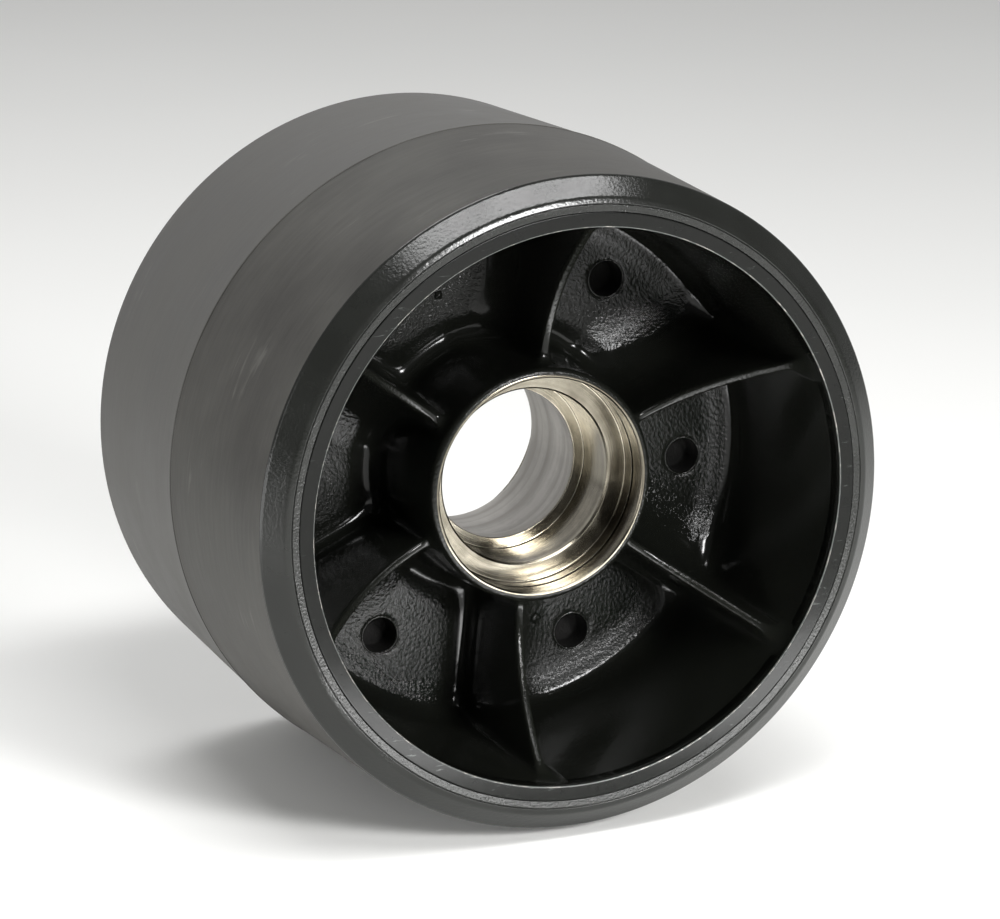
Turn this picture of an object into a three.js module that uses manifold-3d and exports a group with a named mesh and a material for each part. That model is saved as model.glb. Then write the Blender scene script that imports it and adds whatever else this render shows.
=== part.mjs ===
// Track roller wheel: one ductile iron casting (hub, web, ribs and rim) with a rubber tyre bonded round it.
// Millimetres, +Z up. The wheel turns about Y, its front side faces -Y, and the origin is its centre.

import * as THREE from 'three';
import { mergeVertices } from 'three/addons/utils/BufferGeometryUtils.js';
import Module from 'manifold-3d';

// Tyre
const crownRadius = 169.5; // at the parting line, where the tread stands highest
const crownHeight = 4.5; // from the tread's corners to the crown
const rubberThickness = 17; // at the tread's corners
const shoulderInset = 9; // from a rim face to the tread's corner beside it, along the axis
const partingOffset = -4; // the mould's parting line lies this far towards the front
const shoulderRounding = 3;
const lipThickness = 3.8; // flat rubber lip beside each rim face
const lipRounding = 2.5;

// Rim
const wheelWidth = 255; // over the two rim faces
const rimThickness = 10.5; // where the web meets it
const rimDraftDegrees = 1.5;
const rimEdgeRounding = 0.8;

// Bores: seal seats at both ends, bearing seats behind them, and a shoulder between the bearings
const bearingBoreRadius = 45;
const frontBearingDepth = 28.5;
const shoulderHeight = 5.8; // the bearings' shoulder, inwards from their bore
const shoulderLength = 9;
const sealStep = 10; // from the bearing bore out to the seal bore
const sealSeatWidth = 7.5; // between the ring groove and the seal's shoulder
const ringGrooveInset = 10.5; // from the hub's end face to the groove's near side
const ringGrooveWidth = 2.2;
const ringGrooveDepth = 2;
const boreChamfer = 0.7;
const seatChamfer = 1;

// Hub
const hubFrontLength = 70.3; // from the middle of the web to the front face
const hubRearLength = 65.7;
const hubEndWall = 4.7; // round the seal bore, at the front face
const hubDraftDegrees = 3.5;
const hubEdgeRounding = 2.5;

// Ribs
const ribCount = 6; // on each side of the web
const firstRibDegrees = 24; // from +X towards +Z
const ribCrestThickness = 5;
const ribRootThickness = 9;
const ribHubSetback = 11; // from the hub's end face to the crest
const ribRimSetback = 16; // from the rim's face to the crest

// Web, with its raised pads and their holes
const webCentre = -7.3; // along the axis
const webThickness = 12;
const padHeight = 3;
const padHubGap = 11;
const padRimGap = 7.5;
const padRibGap = 7.5;
const holeRadius = 9; // blind, in the front pads only
const holeDepth = 14;
const holeAcrossPad = 0.591; // 0 at the pad's edge by the hub, 1 at its edge by the rim

const segments = 72; // facets of a full turn
const roundingSteps = 3;
const crestSteps = 6;
const bondGap = 0.3; // between neighbouring solids

const painted = { color: 0x15160f, roughness: 0.22, metalness: 0 };
const finishes = {
  tyre: new THREE.MeshStandardMaterial({ color: 0x55544f, roughness: 0.8, metalness: 0, flatShading: true }),
  rim: new THREE.MeshStandardMaterial({ ...painted, color: 0x34383a, flatShading: true }),
  web: new THREE.MeshStandardMaterial({ ...painted, roughness: 0.35, flatShading: true }),
  rib: new THREE.MeshStandardMaterial({ ...painted, flatShading: true }),
  hub: new THREE.MeshStandardMaterial({ color: 0xb4aea4, roughness: 0.3, metalness: 1, flatShading: true }),
};

const manifold = await Module();
manifold.setup();

const radians = THREE.MathUtils.degToRad;
const slope = (degrees) => Math.tan(radians(degrees));
const ribPitch = 360 / ribCount;
const halfWheel = wheelWidth / 2;
const halfTread = halfWheel - shoulderInset;
const hubFront = webCentre - hubFrontLength;
const hubRear = webCentre + hubRearLength;
const sealBoreDepth = ringGrooveInset + ringGrooveWidth + sealSeatWidth;

// Radii, from the bore outwards and from the tread inwards
const shoulderBoreRadius = bearingBoreRadius - shoulderHeight;
const sealBoreRadius = bearingBoreRadius + sealStep;
const hubRootRadius = sealBoreRadius + hubEndWall + hubFrontLength * slope(hubDraftDegrees);
const shoulderRadius = crownRadius - crownHeight;
const rimOuterRadius = shoulderRadius - rubberThickness; // the bonding surface
const tyreInnerRadius = rimOuterRadius + bondGap;
const rimRootRadius = rimOuterRadius - rimThickness;
const padInnerRadius = hubRootRadius + padHubGap;
const padOuterRadius = rimRootRadius - padRimGap;
const padSideClearance = ribRootThickness / 2 + padRibGap; // from the rib's middle plane
const holeCircleRadius = THREE.MathUtils.lerp(padInnerRadius, padOuterRadius, holeAcrossPad);

// The casting's two drafted walls, as radii at a place along the axis
const hubWall = (y) => hubRootRadius - Math.abs(y - webCentre) * slope(hubDraftDegrees);
const rimWall = (y) => rimRootRadius + Math.abs(y - webCentre) * slope(rimDraftDegrees);

// Turns the corners [radius, y, rounding] into a closed outline with its rounded corners as curves.
function outline(corners) {
  const points = [];
  corners.forEach(([r, y, rounding = 0], i) => {
    const corner = new THREE.Vector2(r, y);
    if (rounding === 0) {
      points.push(corner);
      return;
    }
    const [beforeR, beforeY] = corners.at(i - 1);
    const [afterR, afterY] = corners[(i + 1) % corners.length];
    const toBefore = new THREE.Vector2(beforeR, beforeY).sub(corner).normalize();
    const toAfter = new THREE.Vector2(afterR, afterY).sub(corner).normalize();
    const setback = rounding / Math.tan(Math.acos(toBefore.dot(toAfter)) / 2);
    const start = corner.clone().addScaledVector(toBefore, setback);
    const end = corner.clone().addScaledVector(toAfter, setback);
    points.push(...new THREE.QuadraticBezierCurve(start, corner, end).getPoints(roundingSteps));
  });
  return [...points, points[0].clone()];
}

// A ring turned about Y from its outline, which runs anticlockwise in (radius, y).
function ring(corners) {
  return new THREE.LatheGeometry(outline(corners), segments);
}

function toSolid(geometry) {
  geometry.deleteAttribute('normal');
  geometry.deleteAttribute('uv');
  const merged = mergeVertices(geometry);
  return new manifold.Manifold(new manifold.Mesh({
    numProp: 3,
    vertProperties: new Float32Array(merged.attributes.position.array),
    triVerts: new Uint32Array(merged.index.array),
  }));
}

function toMesh(solid, name, material) {
  const { vertProperties, triVerts } = solid.getMesh();
  const geometry = new THREE.BufferGeometry();
  geometry.setAttribute('position', new THREE.BufferAttribute(vertProperties, 3));
  geometry.setIndex(new THREE.BufferAttribute(triVerts, 1));
  geometry.computeVertexNormals();
  const mesh = new THREE.Mesh(geometry, material);
  mesh.name = name;
  return mesh;
}

function rubberTyre() {
  const side = (direction) => {
    const corners = [
      [tyreInnerRadius, direction * halfWheel],
      [tyreInnerRadius + lipThickness, direction * halfWheel, lipRounding],
      [shoulderRadius, direction * halfTread, shoulderRounding],
    ];
    return direction < 0 ? corners : corners.reverse();
  };
  const profile = ring([...side(-1), [crownRadius, partingOffset], ...side(1)]);
  return toMesh(toSolid(profile), 'rubber_tyre', finishes.tyre);
}

function rim() {
  const profile = ring([
    [rimOuterRadius, -halfWheel],
    [rimOuterRadius, halfWheel],
    [rimWall(halfWheel), halfWheel, rimEdgeRounding],
    [rimRootRadius, webCentre],
    [rimWall(-halfWheel), -halfWheel, rimEdgeRounding],
  ]);
  return toMesh(toSolid(profile), 'rim', finishes.rim);
}

// The bores from one end face to the back of its bearing seat, as corners running inwards.
function endBores(face, inwards, bearingEnd) {
  const along = (depth) => face + inwards * depth;
  return [
    [sealBoreRadius + boreChamfer, face],
    [sealBoreRadius, along(boreChamfer)],
    [sealBoreRadius, along(ringGrooveInset)],
    [sealBoreRadius + ringGrooveDepth, along(ringGrooveInset)],
    [sealBoreRadius + ringGrooveDepth, along(ringGrooveInset + ringGrooveWidth)],
    [sealBoreRadius, along(ringGrooveInset + ringGrooveWidth)],
    [sealBoreRadius, along(sealBoreDepth)],
    [bearingBoreRadius + seatChamfer, along(sealBoreDepth)],
    [bearingBoreRadius, along(sealBoreDepth + seatChamfer)],
    [bearingBoreRadius, bearingEnd],
    [shoulderBoreRadius, bearingEnd],
  ];
}

function hub() {
  const shoulderFront = hubFront + sealBoreDepth + frontBearingDepth;
  const profile = ring([
    [hubWall(hubFront), hubFront, hubEdgeRounding],
    [hubRootRadius, webCentre],
    [hubWall(hubRear), hubRear, hubEdgeRounding],
    ...endBores(hubRear, -1, shoulderFront + shoulderLength),
    ...endBores(hubFront, 1, shoulderFront).reverse(),
  ]);
  return toMesh(toSolid(profile), 'hub', finishes.hub);
}

// A flat shape drawn in (x, z), made solid from one place along Y to another.
function extrudeAlong(shape, from, to) {
  const geometry = new THREE.ExtrudeGeometry(shape, { depth: to - from, bevelEnabled: false, curveSegments: 8 });
  geometry.rotateX(Math.PI / 2);
  geometry.translate(0, to, 0);
  return geometry;
}

// One pad lies midway between two ribs and keeps a fixed distance from both.
function padShape(middle) {
  const halfAngle = (radius) => radians(ribPitch / 2) - Math.asin(padSideClearance / radius);
  const outer = halfAngle(padOuterRadius);
  const inner = halfAngle(padInnerRadius);
  const shape = new THREE.Shape();
  shape.absarc(0, 0, padOuterRadius, middle - outer, middle + outer, false);
  shape.absarc(0, 0, padInnerRadius, middle + inner, middle - inner, true);
  shape.closePath();
  return shape;
}

function web() {
  const front = webCentre - webThickness / 2;
  const rear = webCentre + webThickness / 2;
  const padFront = front - padHeight;
  let solid = toSolid(ring([
    [rimRootRadius - bondGap, front],
    [rimRootRadius - bondGap, rear],
    [hubRootRadius + bondGap, rear],
    [hubRootRadius + bondGap, front],
  ]));
  for (let i = 0; i < ribCount; i += 1) {
    const middle = radians(firstRibDegrees + (i + 0.5) * ribPitch);
    solid = solid.add(toSolid(extrudeAlong(padShape(middle), padFront, rear + padHeight)));
    const hole = new THREE.Shape();
    const [x, z] = [Math.cos(middle), Math.sin(middle)].map((part) => part * holeCircleRadius);
    hole.absarc(x, z, holeRadius, 0, 2 * Math.PI, false);
    solid = solid.subtract(toSolid(extrudeAlong(hole, padFront - padHeight, padFront + holeDepth)));
  }
  return toMesh(solid, 'web', finishes.web);
}

// A rib fills the corner between web, hub and rim on one side, up to its scooped crest.
function rib(direction, index) {
  const webFace = webCentre + direction * (webThickness / 2 + bondGap);
  const crestAtHub = (direction < 0 ? hubFront : hubRear) - direction * ribHubSetback;
  const crestAtRim = direction * (halfWheel - ribRimSetback);
  const hubEnd = hubWall(crestAtHub) + bondGap;
  const rimEnd = rimWall(crestAtRim) - bondGap;
  const corners = [];
  for (let step = 0; step <= crestSteps; step += 1) {
    const share = step / crestSteps;
    const y = THREE.MathUtils.lerp(crestAtHub, crestAtRim, share ** 2);
    corners.push([THREE.MathUtils.lerp(hubEnd, rimEnd, share), y]);
  }
  corners.push([rimWall(webFace) - bondGap, webFace], [hubWall(webFace) + bondGap, webFace]);
  const sweep = toSolid(ring(direction < 0 ? corners : corners.reverse()));

  // A tapered slab through the sweep, thick at the web and thin at the highest point of the crest
  const section = new THREE.Shape([
    new THREE.Vector2(-ribRootThickness / 2, webFace),
    new THREE.Vector2(ribRootThickness / 2, webFace),
    new THREE.Vector2(ribCrestThickness / 2, crestAtRim),
    new THREE.Vector2(-ribCrestThickness / 2, crestAtRim),
  ]);
  const slab = new THREE.ExtrudeGeometry(section, { depth: rimOuterRadius, bevelEnabled: false });
  slab.rotateY(radians(90 - firstRibDegrees - index * ribPitch));
  const side = direction < 0 ? 'front' : 'rear';
  return toMesh(sweep.intersect(toSolid(slab)), `${side}_rib_${index + 1}`, finishes.rib);
}

const roller = new THREE.Group();
roller.add(rubberTyre(), rim(), web(), hub());
for (const direction of [-1, 1]) {
  for (let index = 0; index < ribCount; index += 1) {
    roller.add(rib(direction, index));
  }
}

export default roller;
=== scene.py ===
from math import atan2, cos, pi, radians, sin, tan

import bmesh
import bpy
import numpy as np
from mathutils import Matrix, Vector


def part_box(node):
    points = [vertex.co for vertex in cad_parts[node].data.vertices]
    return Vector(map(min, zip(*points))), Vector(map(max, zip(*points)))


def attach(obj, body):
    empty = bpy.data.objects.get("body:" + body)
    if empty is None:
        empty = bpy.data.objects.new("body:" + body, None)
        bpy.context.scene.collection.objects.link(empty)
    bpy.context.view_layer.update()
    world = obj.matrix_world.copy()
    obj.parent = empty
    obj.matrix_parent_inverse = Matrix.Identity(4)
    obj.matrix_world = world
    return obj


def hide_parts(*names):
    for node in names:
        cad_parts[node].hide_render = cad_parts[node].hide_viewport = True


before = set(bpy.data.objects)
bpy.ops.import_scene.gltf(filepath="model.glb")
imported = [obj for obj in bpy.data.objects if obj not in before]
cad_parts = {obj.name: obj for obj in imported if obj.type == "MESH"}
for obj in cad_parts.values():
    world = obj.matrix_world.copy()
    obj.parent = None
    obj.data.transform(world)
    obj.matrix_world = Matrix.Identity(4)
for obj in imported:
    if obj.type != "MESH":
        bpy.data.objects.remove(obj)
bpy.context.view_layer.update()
millimetre = 0.001

# where the frame puts the main faces, in millimetres
tyreLow, tyreHigh = (corner * 1000 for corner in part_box("rubber_tyre"))
hubLow, hubHigh = (corner * 1000 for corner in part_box("hub"))
webLow, webHigh = (corner * 1000 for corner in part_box("web"))
crownRadius = tyreHigh.z
halfWidth = tyreHigh.y
webCentre = (webLow.y + webHigh.y) / 2
scene = bpy.context.scene


# ---- nodes and materials

def addNode(tree, kind, settings=None, links=None):
    # one node with its settings, its values and its incoming links
    node = tree.nodes.new(kind)
    for name, value in (settings or {}).items():
        setattr(node, name, value)
    for key, value in (links or {}).items():
        if isinstance(key, int):
            socket = node.inputs[key]
        else:
            socket = next(s for s in node.inputs if s.enabled and s.name == key)
        if isinstance(value, bpy.types.Node):
            value = next(s for s in value.outputs if s.enabled)
        if isinstance(value, bpy.types.NodeSocket):
            tree.links.new(value, socket)
        else:
            socket.default_value = value
    return node


def srgb(code):
    # sRGB hex to the linear colour that a shader takes
    parts = [int(code[i:i + 2], 16) / 255 for i in (1, 3, 5)]
    return tuple(c / 12.92 if c <= 0.04045 else ((c + 0.055) / 1.055) ** 2.4 for c in parts) + (1.0,)


def newMaterial(name, values):
    # a material with these values on its shader's sockets, and the coordinates that its patterns read
    material = bpy.data.materials.new(name)
    material.use_nodes = True
    shader = material.node_tree.nodes["Principled BSDF"]
    for key, value in values.items():
        shader.inputs[key].default_value = value
    place = addNode(material.node_tree, "ShaderNodeTexCoord").outputs["Object"]
    return material, material.node_tree, shader, place


def perMm(size):
    # texture scale that makes one cell this many millimetres across
    return 1000 / size


def glossBlackPaint(look):
    # air-drying alkyd enamel sprayed over sand cast iron: deep black with a soft orange peel,
    # and gritty where the sand was coarse
    material, tree, shader, place = newMaterial(
        "alkydEnamelOverSandCasting", {"IOR": 1.5, "Specular IOR Level": 0.22})
    grit = addNode(tree, "ShaderNodeAttribute", {"attribute_name": "grit"}).outputs["Fac"]
    peel = addNode(tree, "ShaderNodeTexNoise", None, {
        "Vector": place, "Scale": perMm(look["peelSize"]), "Detail": 2.0, "Roughness": 0.45})
    skin = addNode(tree, "ShaderNodeTexNoise", None, {
        "Vector": place, "Scale": perMm(look["skinSize"]), "Detail": 3.0, "Roughness": 0.5})
    sand = addNode(tree, "ShaderNodeTexNoise", None, {
        "Vector": place, "Scale": perMm(look["gritSize"]), "Detail": 3.0, "Roughness": 0.6})
    peelHeight = addNode(tree, "ShaderNodeMath", {"operation": "MULTIPLY"}, {0: peel, 1: look["peelHeight"]})
    skinHeight = addNode(tree, "ShaderNodeMath", {"operation": "MULTIPLY_ADD"}, {
        0: skin, 1: look["skinHeight"], 2: peelHeight})
    gritAmount = addNode(tree, "ShaderNodeMath", {"operation": "MULTIPLY"}, {0: grit, 1: look["gritHeight"]})
    height = addNode(tree, "ShaderNodeMath", {"operation": "MULTIPLY_ADD"}, {
        0: sand, 1: gritAmount, 2: skinHeight})
    bump = addNode(tree, "ShaderNodeBump", None, {"Height": height, "Distance": millimetre, "Strength": 1.0})
    tree.links.new(bump.outputs["Normal"], shader.inputs["Normal"])
    cloud = addNode(tree, "ShaderNodeTexNoise", None, {
        "Vector": place, "Scale": perMm(look["cloudSize"]), "Detail": 4.0})
    tint = addNode(tree, "ShaderNodeMix", {"data_type": "RGBA"}, {
        "Factor": cloud, "A": srgb(look["colour"]), "B": srgb(look["thinColour"])})
    tree.links.new(tint.outputs["Result"], shader.inputs["Base Color"])
    gloss = addNode(tree, "ShaderNodeMapRange", None, {
        "Value": grit, "To Min": look["gloss"], "To Max": look["gritGloss"]})
    dull = addNode(tree, "ShaderNodeMath", {"operation": "MULTIPLY_ADD"}, {
        0: cloud, 1: look["glossSpread"], 2: gloss})
    tree.links.new(dull.outputs[0], shader.inputs["Roughness"])
    return material


def holeShadeIron(look):
    # nearly black, quite matt iron for the deep part of the blind holes: its near-black colour is painted shade for
    # the dark hollow, and its matt finish keeps reflections out of it
    material, tree, shader, place = newMaterial(
        "holeIronWithPaintedShade", {"IOR": 1.5, "Roughness": 0.85, "Specular IOR Level": 0.2})
    grain = addNode(tree, "ShaderNodeTexNoise", None, {
        "Vector": place, "Scale": perMm(look["grainSize"]), "Detail": 4.0})
    colour = addNode(tree, "ShaderNodeMix", {"data_type": "RGBA"}, {
        "Factor": grain, "A": srgb(look["colour"]), "B": srgb(look["grainColour"])})
    tree.links.new(colour.outputs["Result"], shader.inputs["Base Color"])
    bump = addNode(tree, "ShaderNodeBump", None, {
        "Height": grain, "Distance": look["grainHeight"] * millimetre, "Strength": 1.0})
    tree.links.new(bump.outputs["Normal"], shader.inputs["Normal"])
    return material


def rimPaint(look):
    # the same enamel on a turned face: thinner, flatter and greyer, rubbed through in scuffs
    material, tree, shader, place = newMaterial(
        "enamelOnTurnedRim", {"IOR": 1.5, "Specular IOR Level": 0.16})
    cloud = addNode(tree, "ShaderNodeTexNoise", None, {
        "Vector": place, "Scale": perMm(look["cloudSize"]), "Detail": 6.0, "Roughness": 0.6})
    stretched = addNode(tree, "ShaderNodeMapping", None, {
        "Vector": place, "Rotation": look["scuffTurn"], "Scale": (1.0, 1.0, look["scuffNarrow"])})
    scratch = addNode(tree, "ShaderNodeTexNoise", None, {
        "Vector": stretched, "Scale": perMm(look["scuffSize"]), "Detail": 8.0, "Roughness": 0.75, "Distortion": 0.6})
    rubbed = addNode(tree, "ShaderNodeMapRange", None, {
        "Value": scratch, "From Min": look["scuffStart"], "From Max": look["scuffStart"] + look["scuffFade"]})
    base = addNode(tree, "ShaderNodeMix", {"data_type": "RGBA"}, {
        "Factor": cloud, "A": srgb(look["colour"]), "B": srgb(look["thinColour"])})
    worn = addNode(tree, "ShaderNodeMix", {"data_type": "RGBA"}, {
        "Factor": rubbed, "A": base, "B": srgb(look["scuffColour"])})
    tree.links.new(worn.outputs["Result"], shader.inputs["Base Color"])
    gloss = addNode(tree, "ShaderNodeMapRange", None, {
        "Value": cloud, "To Min": look["gloss"], "To Max": look["gloss"] + look["glossSpread"]})
    tree.links.new(gloss.outputs[0], shader.inputs["Roughness"])
    bump = addNode(tree, "ShaderNodeBump", None, {
        "Height": cloud, "Distance": look["cloudHeight"] * millimetre, "Strength": 1.0})
    tree.links.new(bump.outputs["Normal"], shader.inputs["Normal"])
    return material


def wornEdge(look):
    # corner rubbed to bare iron: a thin bright line that breaks up where paint is left
    material, tree, shader, place = newMaterial("bareIronEdge", {"Roughness": 0.35})
    patch = addNode(tree, "ShaderNodeTexNoise", None, {
        "Vector": place, "Scale": perMm(look["patchSize"]), "Detail": 5.0, "Roughness": 0.7})
    bare = addNode(tree, "ShaderNodeMapRange", None, {
        "Value": patch, "From Min": look["start"], "From Max": look["start"] + look["fade"]})
    colour = addNode(tree, "ShaderNodeMix", {"data_type": "RGBA"}, {
        "Factor": bare, "A": srgb(look["paint"]), "B": srgb(look["iron"])})
    tree.links.new(colour.outputs["Result"], shader.inputs["Base Color"])
    tree.links.new(bare.outputs[0], shader.inputs["Metallic"])
    return material


def turnedIron(name, look):
    # machined ductile iron: the tool leaves fine rings, which draw the light out into bands across them
    material, tree, shader, place = newMaterial(name, {"Metallic": 1.0})
    parts = addNode(tree, "ShaderNodeSeparateXYZ", None, {"Vector": place})
    flat = addNode(tree, "ShaderNodeCombineXYZ", None, {"X": parts.outputs["X"], "Y": parts.outputs["Z"]})
    radius = addNode(tree, "ShaderNodeVectorMath", {"operation": "LENGTH"}, {0: flat}).outputs["Value"]
    along = addNode(tree, "ShaderNodeCombineXYZ", None, {"X": radius, "Y": parts.outputs["Y"]})
    rings = addNode(tree, "ShaderNodeTexNoise", {"noise_dimensions": "2D"}, {
        "Vector": along, "Scale": perMm(look["ringPitch"]), "Detail": 3.0, "Roughness": 0.7})
    bands = addNode(tree, "ShaderNodeTexNoise", {"noise_dimensions": "2D"}, {
        "Vector": along, "Scale": perMm(look["ringPitch"] * look["ringsPerBand"]), "Detail": 2.0})
    stain = addNode(tree, "ShaderNodeTexNoise", None, {
        "Vector": place, "Scale": perMm(look["stainSize"]), "Detail": 6.0, "Roughness": 0.6})
    mixed = addNode(tree, "ShaderNodeMath", {"operation": "MULTIPLY"}, {0: bands, 1: stain})
    share = addNode(tree, "ShaderNodeMapRange", None, {
        "Value": mixed, "From Min": look["stainSpan"][0], "From Max": look["stainSpan"][1]})
    colour = addNode(tree, "ShaderNodeMix", {"data_type": "RGBA"}, {
        "Factor": share, "A": srgb(look["darkColour"]), "B": srgb(look["colour"])})
    tree.links.new(colour.outputs["Result"], shader.inputs["Base Color"])
    gloss = addNode(tree, "ShaderNodeMapRange", None, {
        "Value": stain, "From Min": 0.3, "From Max": 0.7,
        "To Min": look["gloss"] - 0.05, "To Max": look["gloss"] + 0.08})
    tree.links.new(gloss.outputs[0], shader.inputs["Roughness"])
    bump = addNode(tree, "ShaderNodeBump", None, {
        "Height": rings, "Distance": look["ringHeight"] * millimetre, "Strength": 1.0})
    tree.links.new(bump.outputs["Normal"], shader.inputs["Normal"])
    return material


def treadRubber(look):
    # compression moulded natural rubber: matt grey with bloom, handling smudges and faint marks round the tread
    material, tree, shader, place = newMaterial(
        "mouldedRubberTread", {"IOR": 1.5, "Specular IOR Level": 0.32})
    cloud = addNode(tree, "ShaderNodeTexNoise", None, {
        "Vector": place, "Scale": perMm(look["cloudSize"]), "Detail": 6.0, "Roughness": 0.55})
    around = addNode(tree, "ShaderNodeMapping", None, {
        "Vector": place, "Scale": (look["streakLong"], 1.0, look["streakLong"])})
    streaks = addNode(tree, "ShaderNodeTexNoise", None, {
        "Vector": around, "Scale": perMm(look["streakSize"]), "Detail": 5.0, "Roughness": 0.65})
    fine = addNode(tree, "ShaderNodeTexNoise", None, {
        "Vector": place, "Scale": perMm(look["fineSize"]), "Detail": 4.0, "Roughness": 0.7})
    parts = addNode(tree, "ShaderNodeSeparateXYZ", None, {"Vector": place})
    half = addNode(tree, "ShaderNodeMapRange", None, {
        "Value": parts.outputs["Y"], "From Min": (look["partingPlace"] - look["partingBlur"]) * millimetre,
        "From Max": (look["partingPlace"] + look["partingBlur"]) * millimetre})
    halves = addNode(tree, "ShaderNodeMix", {"data_type": "RGBA"}, {
        "Factor": half, "A": srgb(look["frontColour"]), "B": srgb(look["rearColour"])})
    smudge = addNode(tree, "ShaderNodeMath", {"operation": "MULTIPLY_ADD"}, {
        0: streaks, 1: look["streakShare"], 2: cloud})
    smudgeShare = addNode(tree, "ShaderNodeMapRange", None, {
        "Value": smudge, "From Min": 0.45, "From Max": 0.9, "To Min": 0.0, "To Max": look["smudge"]})
    smudged = addNode(tree, "ShaderNodeMix", {"data_type": "RGBA"}, {
        "Factor": smudgeShare, "A": halves, "B": srgb(look["bloomColour"])})
    rubbed = addNode(tree, "ShaderNodeTexNoise", None, {
        "Vector": around, "Scale": perMm(look["scuffSize"]), "Detail": 2.0, "Roughness": 0.5, "Distortion": 1.2})
    where = addNode(tree, "ShaderNodeTexNoise", None, {
        "Vector": place, "Scale": perMm(look["scuffSpacing"]), "Detail": 3.0})
    strokes = addNode(tree, "ShaderNodeMath", {"operation": "MULTIPLY"}, {0: rubbed, 1: where})
    scuffShare = addNode(tree, "ShaderNodeMapRange", None, {
        "Value": strokes, "From Min": 0.38, "From Max": 0.48, "To Min": 0.0, "To Max": look["scuff"]})
    scuffed = addNode(tree, "ShaderNodeMix", {"data_type": "RGBA"}, {
        "Factor": scuffShare, "A": smudged, "B": srgb(look["scuffColour"])})
    tree.links.new(scuffed.outputs["Result"], shader.inputs["Base Color"])
    gloss = addNode(tree, "ShaderNodeMapRange", None, {
        "Value": cloud, "From Min": 0.3, "From Max": 0.7,
        "To Min": look["gloss"] - 0.07, "To Max": look["gloss"] + 0.08})
    tree.links.new(gloss.outputs[0], shader.inputs["Roughness"])
    wave = addNode(tree, "ShaderNodeMath", {"operation": "MULTIPLY_ADD"}, {
        0: fine, 1: look["fineShare"], 2: streaks})
    bump = addNode(tree, "ShaderNodeBump", None, {
        "Height": wave, "Distance": look["streakHeight"] * millimetre, "Strength": 1.0})
    tree.links.new(bump.outputs["Normal"], shader.inputs["Normal"])
    return material


def sidewallPaint(look):
    # enamel over rubber: it wrinkles into a fine orange peel as the rubber gives under it
    material, tree, shader, place = newMaterial(
        "enamelOverRubberSidewall", {"IOR": 1.5, "Specular IOR Level": 0.38})
    peel = addNode(tree, "ShaderNodeTexNoise", None, {
        "Vector": place, "Scale": perMm(look["peelSize"]), "Detail": 3.0, "Roughness": 0.5})
    cloud = addNode(tree, "ShaderNodeTexNoise", None, {
        "Vector": place, "Scale": perMm(look["cloudSize"]), "Detail": 5.0})
    colour = addNode(tree, "ShaderNodeMix", {"data_type": "RGBA"}, {
        "Factor": cloud, "A": srgb(look["colour"]), "B": srgb(look["thinColour"])})
    tree.links.new(colour.outputs["Result"], shader.inputs["Base Color"])
    gloss = addNode(tree, "ShaderNodeMapRange", None, {
        "Value": cloud, "From Min": 0.3, "From Max": 0.7, "To Min": look["gloss"], "To Max": look["gloss"] + 0.08})
    tree.links.new(gloss.outputs[0], shader.inputs["Roughness"])
    bump = addNode(tree, "ShaderNodeBump", None, {
        "Height": peel, "Distance": look["peelHeight"] * millimetre, "Strength": 1.0})
    tree.links.new(bump.outputs["Normal"], shader.inputs["Normal"])
    return material


def studioFloor(look):
    # painted studio floor: matt, close to white, with the faintest mottling
    material, tree, shader, place = newMaterial("mattFloorPaint", {"Roughness": 0.9})
    cloud = addNode(tree, "ShaderNodeTexNoise", None, {
        "Vector": place, "Scale": perMm(look["cloudSize"]), "Detail": 2.0})
    mixed = addNode(tree, "ShaderNodeMix", {"data_type": "RGBA"}, {
        "Factor": cloud, "A": srgb(look["colour"]), "B": srgb(look["thinColour"])})
    tree.links.new(mixed.outputs["Result"], shader.inputs["Base Color"])
    return material


# ---- geometry nodes

def newTree(name, inputs):
    # an empty node group with named inputs: [(name, socket kind, first value)]
    tree = bpy.data.node_groups.new(name, "GeometryNodeTree")
    tree.interface.new_socket("Geometry", in_out="INPUT", socket_type="NodeSocketGeometry")
    tree.interface.new_socket("Geometry", in_out="OUTPUT", socket_type="NodeSocketGeometry")
    for label, kind, value in inputs:
        socket = tree.interface.new_socket(label, in_out="INPUT", socket_type=kind)
        if value is not None:
            socket.default_value = value
    given = tree.nodes.new("NodeGroupInput")
    result = tree.nodes.new("NodeGroupOutput")
    return tree, given, result


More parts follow.
